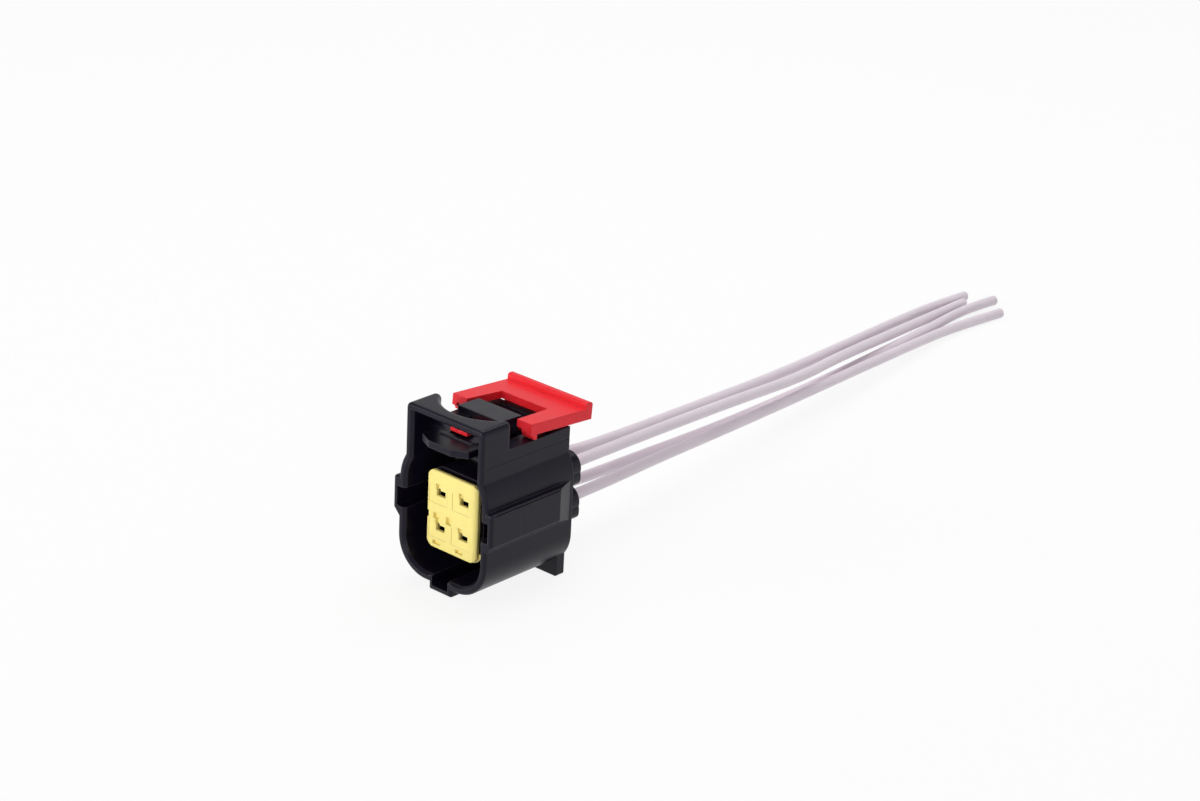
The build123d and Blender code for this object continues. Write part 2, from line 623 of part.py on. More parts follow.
def make_wire(number, x, z):
    """Insulation tube and conductor of one wire on the same route, with their lengths printed."""
    outside = wire_routes[number]
    radii = bend_radii([(x, insulation_start_y, z)] + outside)
    path = FilletPolyline((x, insulation_start_y, z), *outside, radius=radii)
    core_path = FilletPolyline((x, conductor_start_y, z), *outside, radius=radii)
    section = Plane(origin=(x, insulation_start_y, z), x_dir=(1, 0, 0), z_dir=(0, 1, 0))
    ring = section * (Circle(wire_r) - Circle(conductor_r + conductor_clearance))
    tube = sweep(ring, path=path)
    core_section = Plane(origin=(x, conductor_start_y, z), x_dir=(1, 0, 0), z_dir=(0, 1, 0))
    core = sweep(core_section * Circle(conductor_r), path=core_path)
    ring_area = math.pi * (wire_r ** 2 - (conductor_r + conductor_clearance) ** 2)
    print("wire", number, "length", round(path.length, 2), "radii", [round(r, 1) for r in radii])
    print("  tube volume ratio", round(tube.volume / (ring_area * path.length), 5), "core",
          round(core.volume / (math.pi * conductor_r ** 2 * core_path.length), 5))
    return tube, core


nodes = {"housing": make_housing(), "terminal_lock_plate": make_lock_plate(), "latch_arm": make_latch_arm(),
         "position_lock_slide": make_lock_slide(), "ring_seal": make_ring_seal()}
for index, (cavity_x, cavity_z) in enumerate(cavities, start=1):
    nodes[f"terminal_{index}"] = make_terminal(cavity_x, cavity_z)
    nodes[f"wire_seal_{index}"] = make_wire_seal(cavity_x, cavity_z)
    nodes[f"wire_{index}"], nodes[f"conductor_{index}"] = make_wire(str(index), cavity_x, cavity_z)

os.makedirs("parts", exist_ok=True)
for name, solid in nodes.items():
    export_step(Pos(0, -origin_y, 0) * solid, f"parts/{name}.step")
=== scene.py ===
import math
import bpy
import numpy as np
from mathutils import Matrix, Vector


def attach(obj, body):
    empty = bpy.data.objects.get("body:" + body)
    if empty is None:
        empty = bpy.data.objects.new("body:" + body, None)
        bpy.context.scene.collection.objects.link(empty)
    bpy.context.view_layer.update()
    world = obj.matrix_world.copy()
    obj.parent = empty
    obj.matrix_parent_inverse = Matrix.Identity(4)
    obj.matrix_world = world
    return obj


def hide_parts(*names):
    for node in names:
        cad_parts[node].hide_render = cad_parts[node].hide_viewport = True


bl_info = {
    "name": "Sealed Plug Dresser",
    "version": (1, 0, 0),
    "blender": (4, 5, 0),
    "location": "View3D > Sidebar > Plug",
    "description": "Dresses a sealed four way plug and its loose wires, and sets a plain stage",
    "category": "Object",
}

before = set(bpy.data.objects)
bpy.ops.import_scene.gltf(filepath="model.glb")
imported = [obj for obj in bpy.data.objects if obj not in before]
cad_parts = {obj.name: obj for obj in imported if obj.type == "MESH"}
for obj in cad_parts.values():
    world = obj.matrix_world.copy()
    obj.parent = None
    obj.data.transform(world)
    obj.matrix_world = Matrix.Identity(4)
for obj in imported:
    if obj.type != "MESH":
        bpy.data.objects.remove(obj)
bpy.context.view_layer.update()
MM = 0.001

# Sizes below are in millimetres, and every y is counted from the rim of the mouth. The frame's origin lies
# this far behind that rim.
BODY_Y = 12.85

# Line where the mould's two halves met: its place along the housing, and half its width
SEAM_Y, SEAM_HALF_WIDTH = 6.5, 0.05

# Camera solved from the picture, in metres and in the plug's own frame
CAMERA_PLACE = (0.298781, -0.320563, 0.212279)
CAMERA_TURN = ((0.7410590, -0.2898718, 0.6056450),
               (0.6697950, 0.2560440, -0.6970051),
               (0.0469704, 0.9221799, 0.3838984))
SENSOR_WIDTH = 36.0
FOCAL_IN_WIDTHS = 3033.4 / 1200

# Lamps: name, setting that holds the power, width and depth, place and target, all in metres
LAMPS = (
    ("key_lamp", "key_power", (0.6, 0.5), (-0.10, 0.20, 0.62), (0.0, 0.03, 0.0)),
    ("front_lamp", "front_power", (0.45, 0.45), (-0.22, -0.60, 0.17), (0.0, 0.0, 0.01)),
    ("side_lamp", "side_power", (0.4, 0.3), (0.50, -0.42, 0.20), (0.0, 0.0, 0.01)),
)

# Backdrop, in metres: inner radius and wall bend, rings of the flat and sides, and how much of it glows
FLOOR_HOLE, FLOOR_BEND = 0.02, 0.3
FLOOR_RINGS, FLOOR_SIDES = 12, 96
FLOOR_GLOW = 0.88

# Places of the cavities across and up
PITCH_X = 5.0
ROW_Z = (15.25, 9.3)
CAVITIES = [(x, z) for z in ROW_Z for x in (-PITCH_X / 2, PITCH_X / 2)]

# Points in a quarter turn of a rounded corner or bend
QUARTER_POINTS = 13

# Wire seals: places along the wire, radii, lips, half the length of the shoulder, rounds of the outer edges
# and of the bore's edges, and how finely they are cut
SEAL_START, SEAL_BODY, SEAL_END = 18.6, 20.4, 25.6
SEAL_NECK_R, SEAL_CORE_R, SEAL_LIP_R, SEAL_BORE_R = 1.35, 1.55, 1.9, 1.0
SEAL_LIPS = 3
SEAL_SHOULDER, SEAL_EDGE, SEAL_BORE_EDGE = 0.25, 0.12, 0.1
SEAL_STEPS, SEAL_SIDES = 113, 40

# Ring seal round the contact block: places along the plug, the oblong, the band and its lips
RING_START, RING_END = 9.0, 12.4
RING_HALF_WIDTH, RING_LOW, RING_HIGH, RING_CORNER = 5.5, 5.95, 19.5, 1.85
RING_BASE, RING_LIP, RING_LIPS = 0.7, 0.45, 3
RING_EDGE, RING_STEPS = 0.15, 61

# Insulation: room left round the strands, round of the cut edges, share of that round where its middle
# point lies, and sides of the tube
CORE_ROOM, CUT_EDGE, CUT_MIDDLE, TUBE_SIDES = 0.03, 0.07, 0.3, 32

# Strands: where they start in the contact, the length of one turn, how close the outer ring sits, how much
# of its room a strand fills, and sides of a strand
CORE_START_Y, STRAND_LAY, STRAND_NEST, STRAND_FILL, STRAND_SIDES = 14.2, 16.0, 0.97, 0.98, 6

# Points between two corners of a route
ROUTE_STEPS = 20

# Wire routes from the crimps on, with the corners of the solid wires. The first turns of wires 1 and 3 are
# less than a millimetre off theirs, to follow the picture.
ROUTES = (
    ((-2.5, 17.6, 15.25), (-2.5, 27.5, 15.3), (-1.9, 31.5, 14.55), (-1.2, 41.0, 14.5), (-3.3, 63.4, 12.8),
     (-8.6, 93.7, 9.0), (-16.6, 128.7, 4.6), (-22.6, 160.0, 1.5), (-22.4, 171.9, 0.95)),
    ((2.5, 17.6, 15.25), (2.5, 33.0, 15.25), (1.7, 49.8, 14.6), (-0.8, 72.5, 12.6), (-4.0, 94.9, 9.8),
     (-9.1, 112.7, 7.4), (-15.8, 141.2, 3.4), (-20.3, 168.4, 0.95)),
    ((-2.5, 17.6, 9.3), (-2.5, 27.5, 9.35), (-2.2, 33.0, 8.75), (-2.0, 47.0, 8.55), (-3.7, 71.2, 6.8),
     (-7.1, 94.9, 4.8), (-11.2, 122.6, 2.9), (-14.6, 147.9, 1.9), (-17.1, 164.6, 1.6), (-17.0, 174.4, 0.95)),
    ((2.5, 17.6, 9.3), (2.5, 33.0, 9.3), (1.5, 49.0, 9.2), (0.5, 63.8, 8.7), (-2.6, 87.8, 7.0),
     (-7.1, 114.1, 4.6), (-11.5, 141.1, 2.2), (-13.3, 155.1, 1.1), (-12.0, 169.6, 0.95)),
)
# Lengths of the four wires
WIRE_LENGTHS = (157.1, 153.8, 158.1, 153.4)


class PlugSizes(bpy.types.PropertyGroup):
    """Sizes of the dressed pieces."""
    wire_diameter: bpy.props.FloatProperty(
        name="Wire diameter", description="Outside diameter of a wire's insulation",
        default=0.0019, min=0.0005, unit="LENGTH")
    core_diameter: bpy.props.FloatProperty(
        name="Core diameter", description="Diameter of the bare conductor inside a wire",
        default=0.001, min=0.0002, unit="LENGTH")
    edge_radius: bpy.props.FloatProperty(
        name="Edge radius", description="Radius of the moulded edges",
        default=0.00022, min=0.0, unit="LENGTH")


class PlugColours(bpy.types.PropertyGroup):
    """Colours of the moulded pieces."""
    housing: bpy.props.FloatVectorProperty(
        name="Housing", description="Colour of the moulded housing", subtype="COLOR", size=3,
        default=(0.0055, 0.0040, 0.0120), min=0.0, max=1.0)
    red_lock: bpy.props.FloatVectorProperty(
        name="Position lock", description="Colour of the sliding position lock", subtype="COLOR", size=3,
        default=(0.87, 0.019, 0.031), min=0.0, max=1.0)
    yellow_plate: bpy.props.FloatVectorProperty(
        name="Lock plate", description="Colour of the terminal lock plate", subtype="COLOR", size=3,
        default=(0.97, 0.82, 0.26), min=0.0, max=1.0)
    wire: bpy.props.FloatVectorProperty(
        name="Wire", description="Colour of the insulation", subtype="COLOR", size=3,
        default=(0.88, 0.79, 0.855), min=0.0, max=1.0)
    seal: bpy.props.FloatVectorProperty(
        name="Wire seal", description="Colour of the silicone wire seals", subtype="COLOR", size=3,
        default=(0.16, 0.24, 0.22), min=0.0, max=1.0)


class PlugStage(bpy.types.PropertyGroup):
    """Light and backdrop of the stage."""
    backdrop_radius: bpy.props.FloatProperty(
        name="Backdrop radius", description="Distance from the plug to the backdrop's wall",
        default=1.8, min=0.5, unit="LENGTH")
    backdrop_height: bpy.props.FloatProperty(
        name="Backdrop height", description="Height of the backdrop's wall",
        default=0.95, min=0.1, unit="LENGTH")
    key_power: bpy.props.FloatProperty(
        name="Key light", description="Power of the large lamp overhead, in watts", default=3.2, min=0.0)
    front_power: bpy.props.FloatProperty(
        name="Front light", description="Power of the lamp before the mouth, in watts", default=2.8, min=0.0)
    side_power: bpy.props.FloatProperty(
        name="Side light", description="Power of the lamp on the right, in watts", default=0.7, min=0.0)
    room_light: bpy.props.FloatProperty(
        name="Room light", description="Strength of the even room light", default=0.17, min=0.0)


def new_object(name, mesh):
    """Links a finished mesh or curve to the scene, at the origin."""
    made = bpy.data.objects.new(name, mesh)
    bpy.context.scene.collection.objects.link(made)
    return made


def socket(group, name, kind, side, value=None):
    """Adds one socket to a node group and sets its default."""
    made = group.interface.new_socket(name=name, in_out=side, socket_type=kind)
    if value is not None:
        made.default_value = value
    return made


def node(tree, kind, inputs=None, **settings):
    """Adds a node to a tree, sets its settings and then its inputs by name or number."""
    made = tree.nodes.new(kind)
    for name, value in settings.items():
        setattr(made, name, value)
    for name, value in (inputs or {}).items():
        made.inputs[name].default_value = value
    return made


def moulding_group():
    """Node group for moulded plastic: fine grain, soft colour drift, and rounded edges with a painted
    highlight.

    Edge mask: one minus the cosine between the true normal and the normal rounded over the edge radius,
    so it is nothing on flats and rises where the surface turns. Broken up by the cloud noise, it mixes in the
    edge highlight colour, a painted highlight along the edges.
    """
    found = bpy.data.node_groups.get("moulding")
    if found:
        return found
    group = bpy.data.node_groups.new("moulding", "ShaderNodeTree")
    socket(group, "Colour", "NodeSocketColor", "INPUT", (0.5, 0.5, 0.5, 1.0))
    # Colour of the painted highlight mixed in along the edges
    socket(group, "Edge colour", "NodeSocketColor", "INPUT", (0.6, 0.6, 0.6, 1.0))
    socket(group, "Roughness", "NodeSocketFloat", "INPUT", 0.45)
    socket(group, "Grain size", "NodeSocketFloat", "INPUT", 5000.0)
    socket(group, "Grain depth", "NodeSocketFloat", "INPUT", 0.2)
    socket(group, "Drift", "NodeSocketFloat", "INPUT", 0.1)
    socket(group, "Edge radius", "NodeSocketFloat", "INPUT", 0.0002)
    socket(group, "Colour", "NodeSocketColor", "OUTPUT")
    socket(group, "Roughness", "NodeSocketFloat", "OUTPUT")
    socket(group, "Normal", "NodeSocketVector", "OUTPUT")
    links = group.links
    entry, result = node(group, "NodeGroupInput"), node(group, "NodeGroupOutput")
    place = node(group, "ShaderNodeTexCoord")
    grain = node(group, "ShaderNodeTexNoise", {"Detail": 3.0})
    links.new(place.outputs["Object"], grain.inputs["Vector"])
    links.new(entry.outputs["Grain size"], grain.inputs["Scale"])
    cloud = node(group, "ShaderNodeTexNoise", {"Scale": 220.0, "Detail": 4.0})
    links.new(place.outputs["Object"], cloud.inputs["Vector"])
    rounded = node(group, "ShaderNodeBevel", samples=6)
    links.new(entry.outputs["Edge radius"], rounded.inputs["Radius"])
    true_normal = node(group, "ShaderNodeNewGeometry")
    cosine = node(group, "ShaderNodeVectorMath", operation="DOT_PRODUCT")
    links.new(rounded.outputs["Normal"], cosine.inputs[0])
    links.new(true_normal.outputs["Normal"], cosine.inputs[1])
    edge = node(group, "ShaderNodeMapRange", {"From Min": 0.99, "From Max": 0.80})
    links.new(cosine.outputs["Value"], edge.inputs["Value"])
    # Painted highlight: the edge mask times the cloud noise, where the edge highlight colour replaces the
    # colour
    painted_edge_highlight = node(group, "ShaderNodeMath", operation="MULTIPLY")
    links.new(edge.outputs["Result"], painted_edge_highlight.inputs[0])
    links.new(cloud.outputs["Fac"], painted_edge_highlight.inputs[1])
    centred = node(group, "ShaderNodeMath", {1: 0.5}, operation="SUBTRACT")
    links.new(cloud.outputs["Fac"], centred.inputs[0])
    drift = node(group, "ShaderNodeMath", {2: 1.0}, operation="MULTIPLY_ADD")
    links.new(centred.outputs[0], drift.inputs[0])
    links.new(entry.outputs["Drift"], drift.inputs[1])
    shaded = node(group, "ShaderNodeVectorMath", operation="SCALE")
    links.new(entry.outputs["Colour"], shaded.inputs[0])
    links.new(drift.outputs[0], shaded.inputs["Scale"])
    mixed = node(group, "ShaderNodeMix", data_type="RGBA")
    links.new(painted_edge_highlight.outputs[0], mixed.inputs["Factor"])
    links.new(shaded.outputs[0], mixed.inputs[6])
    links.new(entry.outputs["Edge colour"], mixed.inputs[7])
    rough = node(group, "ShaderNodeMath", {1: 0.18}, operation="MULTIPLY_ADD")
    links.new(centred.outputs[0], rough.inputs[0])
    links.new(entry.outputs["Roughness"], rough.inputs[2])
    bump = node(group, "ShaderNodeBump", {"Distance": 0.00003})
    links.new(entry.outputs["Grain depth"], bump.inputs["Strength"])
    links.new(grain.outputs["Fac"], bump.inputs["Height"])
    links.new(rounded.outputs["Normal"], bump.inputs["Normal"])
    links.new(mixed.outputs[2], result.inputs["Colour"])
    links.new(rough.outputs[0], result.inputs["Roughness"])
    links.new(bump.outputs["Normal"], result.inputs["Normal"])
    return group


def blank_material(name):
    """New material, as (material, node tree, links, Principled shader)."""
    material = bpy.data.materials.new(name)
    material.use_nodes = True
    tree = material.node_tree
    return material, tree, tree.links, tree.nodes["Principled BSDF"]


def moulded(name, colour, edge_highlight_colour, roughness, specular, grain_size, grain_depth, drift, edge_radius):
    """Material of a moulded piece, from the moulding group, with a painted highlight colour along its edges.
    """
    found = bpy.data.materials.get(name)
    if found:
        return found
    material, tree, links, shader = blank_material(name)
    group = node(tree, "ShaderNodeGroup", {
        "Colour": (*colour, 1.0), "Edge colour": (*edge_highlight_colour, 1.0), "Roughness": roughness,
        "Grain size": grain_size, "Grain depth": grain_depth, "Drift": drift, "Edge radius": edge_radius,
    }, node_tree=moulding_group())
    links.new(group.outputs["Colour"], shader.inputs["Base Color"])
    links.new(group.outputs["Roughness"], shader.inputs["Roughness"])
    links.new(group.outputs["Normal"], shader.inputs["Normal"])
    shader.inputs["Specular IOR Level"].default_value = specular
    return material


def housing_material(scene):
    """Black glass filled nylon with a satin moulded grain and the line where the mould's two halves met.

    The line is a low ridge across the length: its height is one at the line and falls to nothing on each
    side over half the width.
    """
    name = "satin_black_nylon"
    found = bpy.data.materials.get(name)
    if found:
        return found
    # The grey edge colour is a painted highlight along the black edges
    material = moulded(name, scene.plug_colours.housing, (0.11, 0.108, 0.12), roughness=0.34,
                       specular=0.2, grain_size=6500.0, grain_depth=0.3, drift=0.5,
                       edge_radius=scene.plug_sizes.edge_radius)
    tree = material.node_tree
    links, shader = tree.links, tree.nodes["Principled BSDF"]
    place = node(tree, "ShaderNodeTexCoord")
    axes = node(tree, "ShaderNodeSeparateXYZ")
    links.new(place.outputs["Object"], axes.inputs[0])
    offset = node(tree, "ShaderNodeMath", {1: (SEAM_Y - BODY_Y) * MM}, operation="SUBTRACT")
    links.new(axes.outputs["Y"], offset.inputs[0])
    distance = node(tree, "ShaderNodeMath", operation="ABSOLUTE")
    links.new(offset.outputs[0], distance.inputs[0])
    ridge = node(tree, "ShaderNodeMapRange", {"From Max": SEAM_HALF_WIDTH * MM, "To Min": 1.0, "To Max": 0.0})
    links.new(distance.outputs[0], ridge.inputs["Value"])
    bump = node(tree, "ShaderNodeBump", {"Distance": 0.00002, "Strength": 0.6})
    links.new(ridge.outputs["Result"], bump.inputs["Height"])
    links.new(shader.inputs["Normal"].links[0].from_socket, bump.inputs["Normal"])
    links.new(bump.outputs["Normal"], shader.inputs["Normal"])
    return material


def red_material(scene):
    """Warm red moulded plastic."""
    # The brighter red edge colour is a painted highlight along the edges
    return moulded("red_moulded_plastic", scene.plug_colours.red_lock, (0.95, 0.06, 0.07), roughness=0.42,
                   specular=0.25, grain_size=4500.0, grain_depth=0.2, drift=0.18,
                   edge_radius=scene.plug_sizes.edge_radius)


def yellow_material(scene):
    """Pale yellow moulded plastic."""
    # The paler yellow edge colour is a painted highlight along the edges
    return moulded("yellow_moulded_plastic", scene.plug_colours.yellow_plate, (1.0, 0.90, 0.50),
                   roughness=0.45, specular=0.4, grain_size=4500.0, grain_depth=0.2, drift=0.12,
                   edge_radius=scene.plug_sizes.edge_radius)


def seal_material(scene):
    """Soft silicone of the wire seals."""
    # The lighter edge colour is a painted highlight along the seal's edges
    return moulded("silicone_seal", scene.plug_colours.seal, (0.22, 0.31, 0.28), roughness=0.38,
                   specular=0.4, grain_size=2500.0, grain_depth=0.15, drift=0.25,
                   edge_radius=scene.plug_sizes.edge_radius / 2)


def ring_material(scene):
    """Charcoal silicone of the ring seal."""
    # The lighter edge colour is a painted highlight along the ring's edges
    return moulded("charcoal_seal", (0.03, 0.031, 0.033), (0.06, 0.06, 0.062), roughness=0.36,
                   specular=0.4, grain_size=2500.0, grain_depth=0.15, drift=0.25,
                   edge_radius=scene.plug_sizes.edge_radius / 2)


def contact_material(scene):
    """Tin plated sheet: metallic, with fine rolling lines and dull patches."""
    name = "tinned_sheet"
    found = bpy.data.materials.get(name)
    if found:
        return found
    material, tree, links, shader = blank_material(name)
    place = node(tree, "ShaderNodeTexCoord")
    stretch = node(tree, "ShaderNodeMapping", {"Scale": (9000.0, 500.0, 9000.0)})
    lines = node(tree, "ShaderNodeTexNoise", {"Scale": 1.0})
    patches = node(tree, "ShaderNodeTexNoise", {"Scale": 900.0})
    ramp = node(tree, "ShaderNodeMapRange", {"To Min": 0.22, "To Max": 0.5})
    bump = node(tree, "ShaderNodeBump", {"Distance": 0.00001, "Strength": 0.3})
    links.new(place.outputs["Object"], stretch.inputs["Vector"])
    links.new(stretch.outputs["Vector"], lines.inputs["Vector"])
    links.new(place.outputs["Object"], patches.inputs["Vector"])
    links.new(patches.outputs["Fac"], ramp.inputs["Value"])
    links.new(ramp.outputs["Result"], shader.inputs["Roughness"])
    links.new(lines.outputs["Fac"], bump.inputs["Height"])
    links.new(bump.outputs["Normal"], shader.inputs["Normal"])
    shader.inputs["Base Color"].default_value = (0.72, 0.71, 0.68, 1.0)
    shader.inputs["Metallic"].default_value = 1.0
    return material


def wire_material(scene):
    """Off-white insulation: soft sheen, faint draw lines along the wire and slight soiling."""
    name = "off_white_insulation"
    found = bpy.data.materials.get(name)
    if found:
        return found
    material, tree, links, shader = blank_material(name)
    red, green, blue = scene.plug_colours.wire
    place = node(tree, "ShaderNodeTexCoord")
    stretch = node(tree, "ShaderNodeMapping", {"Scale": (2400.0, 60.0, 2400.0)})
    lines = node(tree, "ShaderNodeTexNoise", {"Scale": 1.0})
    soil = node(tree, "ShaderNodeTexNoise", {"Scale": 120.0, "Detail": 5.0})
    tint = node(tree, "ShaderNodeMix", data_type="RGBA")
    tint.inputs[6].default_value = (red, green, blue, 1.0)
    tint.inputs[7].default_value = (red * 0.86, green * 0.84, blue * 0.86, 1.0)
    rough = node(tree, "ShaderNodeMapRange", {"To Min": 0.34, "To Max": 0.5})
    bump = node(tree, "ShaderNodeBump", {"Distance": 0.00002, "Strength": 0.25})
    links.new(place.outputs["Object"], stretch.inputs["Vector"])
    links.new(stretch.outputs["Vector"], lines.inputs["Vector"])
    links.new(place.outputs["Object"], soil.inputs["Vector"])
    links.new(soil.outputs["Fac"], tint.inputs["Factor"])
    links.new(tint.outputs[2], shader.inputs["Base Color"])
    links.new(lines.outputs["Fac"], rough.inputs["Value"])
    links.new(rough.outputs["Result"], shader.inputs["Roughness"])
    links.new(lines.outputs["Fac"], bump.inputs["Height"])
    links.new(bump.outputs["Normal"], shader.inputs["Normal"])
    return material


def copper_material(scene):
    """Bare copper strands, dulled in places."""
    name = "bare_copper"
    found = bpy.data.materials.get(name)
    if found:
        return found
    material, tree, links, shader = blank_material(name)
    place = node(tree, "ShaderNodeTexCoord")
    strands = node(tree, "ShaderNodeTexVoronoi", {"Scale": 3200.0})
    tint = node(tree, "ShaderNodeMix", data_type="RGBA")
    tint.inputs[6].default_value = (0.80, 0.42, 0.26, 1.0)
    tint.inputs[7].default_value = (0.42, 0.20, 0.11, 1.0)
    bump = node(tree, "ShaderNodeBump", {"Distance": 0.0001})
    links.new(place.outputs["Object"], strands.inputs["Vector"])
    links.new(strands.outputs["Distance"], tint.inputs["Factor"])
    links.new(tint.outputs[2], shader.inputs["Base Color"])
    links.new(strands.outputs["Distance"], bump.inputs["Height"])
    links.new(bump.outputs["Normal"], shader.inputs["Normal"])
    shader.inputs["Metallic"].default_value = 1.0
    shader.inputs["Roughness"].default_value = 0.4
    return material


def grid_faces(rows, columns, ring=False):
    """Corner numbers of a grid's quads, whose columns close on themselves, and its rows too for a ring.

    Point (i, j) has the number i times the columns plus j, and its quad goes on to i + 1 and j + 1.
    """
    i = np.arange(rows if ring else rows - 1)[:, None]
    j = np.arange(columns)[None, :]
    next_i, next_j = (i + 1) % rows, (j + 1) % columns
    corners = (i * columns + j, i * columns + next_j, next_i * columns + next_j, next_i * columns + j)
    return np.stack(np.broadcast_arrays(*corners), axis=-1).reshape(-1, 4)


def surface(name, points, faces, material, body, sharp_degrees=40.0):
    """Smooth piece from points in metres and lists of corner numbers, riding on a body."""
    mesh = bpy.data.meshes.new(name)
    mesh.from_pydata(points.reshape(-1, 3).tolist(), [], faces)
    mesh.shade_smooth()
    mesh.set_sharp_from_angle(angle=math.radians(sharp_degrees))
    mesh.materials.append(material)
    made = new_object(name, mesh)
    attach(made, body)
    return made


def route_path(corners):
    """Points along a route, in metres: a smooth spline of order three, with the corners as control points."""
    curve = bpy.data.curves.new("route", "CURVE")
    curve.dimensions = "3D"
    spline = curve.splines.new("NURBS")
    spline.points.add(len(corners) - 1)
    flat = np.ones((len(corners), 4))
    flat[:, :3] = (np.array(corners) - (0.0, BODY_Y, 0.0)) * MM
    spline.points.foreach_set("co", flat.ravel())
    spline.order_u = 3
    spline.use_endpoint_u = True
    spline.resolution_u = ROUTE_STEPS
    carrier = bpy.data.objects.new("route", curve)
    mesh = bpy.data.meshes.new_from_object(carrier)
    path = np.empty(3 * len(mesh.vertices))
    mesh.vertices.foreach_get("co", path)
    bpy.data.objects.remove(carrier)
    bpy.data.curves.remove(curve)
    bpy.data.meshes.remove(mesh)
    return path.reshape(-1, 3)


def path_frames(path):
    """Unit vectors at each point of a path: along it, to its side and up from it.

    Along is the difference of the neighbours, side is world up crossed with along, and up is along crossed
    with side, so nothing twists on a path that never stands upright.
    """
    along = np.gradient(path, axis=0)
    along /= np.linalg.norm(along, axis=1, keepdims=True)
    side = np.cross((0.0, 0.0, 1.0), along)
    side /= np.linalg.norm(side, axis=1, keepdims=True)
    return along, side, np.cross(along, side)


def path_lengths(path):
    """Length along a path from its start to each of its points."""
    return np.concatenate(([0.0], np.cumsum(np.linalg.norm(np.diff(path, axis=0), axis=1))))


def round_section(centres, radii, side, lift, count):
    """Rings about a line of centres: centre plus radius times cosine of side plus sine of up."""
    turn = np.linspace(0.0, 2 * math.pi, count, endpoint=False)
    around = np.cos(turn)[None, :, None] * side[:, None, :] + np.sin(turn)[None, :, None] * lift[:, None, :]
    return centres[:, None, :] + np.asarray(radii)[:, None, None] * around


def insulation_tube(name, path, radius, bore, edge, material):
    """Hollow tube along a path, with a small round on both cut edges.

    The outer wall, the cut end, the bore back to the start and the other cut end are one closed row of
    rings. Each ring has its point on the path, its shift along the path and its radius. At an end the outer
    radius shrinks by the edge size over the same length.
    """
    along, side, lift = path_frames(path)
    last = len(path) - 1
    middle = edge * CUT_MIDDLE
    rows = [(0, edge, radius), *((i, 0.0, radius) for i in range(1, last)), (last, -edge, radius),
            (last, -middle, radius - middle), (last, 0.0, radius - edge), (last, 0.0, bore + edge / 2),
            (last, -edge / 2, bore), *((i, 0.0, bore) for i in range(last - 1, 0, -1)),
            (0, edge / 2, bore), (0, 0.0, bore + edge / 2), (0, 0.0, radius - edge),
            (0, middle, radius - middle)]
    place, shift, radii = (np.array(column) for column in zip(*rows))
    place = place.astype(int)
    centres = path[place] + along[place] * shift[:, None]
    points = round_section(centres, radii, side[place], lift[place], TUBE_SIDES)
    faces = grid_faces(len(rows), TUBE_SIDES, ring=True).tolist()
    tube = surface(name, points, faces, material, "plug")
    wrap_tube(tube.data, path_lengths(path)[place] + shift, TUBE_SIDES)
    return tube


def wrap_tube(mesh, along, count):
    """UV map of a tube: u is the distance along it in centimetres, v is the share of a turn."""
    corners = np.empty(len(mesh.loops), dtype=np.int32)
    mesh.loops.foreach_get("vertex_index", corners)
    turn = (corners % count).reshape(-1, 4) / count
    turn[(turn.max(axis=1) - turn.min(axis=1) > 0.5)[:, None] & (turn == 0.0)] = 1.0
    layer = mesh.uv_layers.new(name="along")
    layer.data.foreach_set("uv", np.stack((along[corners // count] * 100, turn.ravel()), axis=1).ravel())


def strand_bundle(name, path, radius, material):
    """Bare copper conductor: nineteen strands twisted about a path, each closed at both ends.

    A strand keeps its own distance from the middle and turns about the path once every lay length. One
    strand is in the middle, six are one pitch out and twelve are two pitches out.
    """
    strand = radius / 5
    rings = ((1, 0.0), (6, 2 * strand), (12, 4 * strand * STRAND_NEST))
    distance = np.concatenate([np.full(count, out) for count, out in rings])
    start = np.concatenate([np.arange(count) * 2 * math.pi / count for count, _ in rings])
    _, side, lift = path_frames(path)
    turn = start[:, None] + 2 * math.pi * path_lengths(path)[None, :] / (STRAND_LAY * MM)
    centres = path[None] + distance[:, None, None] * (np.cos(turn)[..., None] * side[None]
                                                      + np.sin(turn)[..., None] * lift[None])
    around = np.linspace(0.0, 2 * math.pi, STRAND_SIDES, endpoint=False)
    offset = (np.cos(around)[None, :, None] * side[:, None, :]
              + np.sin(around)[None, :, None] * lift[:, None, :])
    points = centres[:, :, None, :] + strand * STRAND_FILL * offset[None]
    step = len(path) * STRAND_SIDES
    walls = grid_faces(len(path), STRAND_SIDES)
    faces = (walls[None] + np.arange(len(distance))[:, None, None] * step).reshape(-1, 4).tolist()
    for first in range(0, len(distance) * step, step):
        faces.append(list(range(first + STRAND_SIDES - 1, first - 1, -1)))
        faces.append(list(range(first + step - STRAND_SIDES, first + step)))
    return surface(name, points, faces, material, "plug", sharp_degrees=50.0)


def lip_height(share, lips):
    """Height of rounded lips along a seal, from 0 to 1: the cosine wave of the lips, squared up a little."""
    wave = 0.5 - 0.5 * np.cos(2 * math.pi * lips * share)
    return wave ** 0.8


def edge_round(distance, size):
    """Depth of a rounded edge: its size times the square of the share of it that is left, nothing beyond."""
    return size * np.clip(1 - distance / size, 0.0, 1.0) ** 2


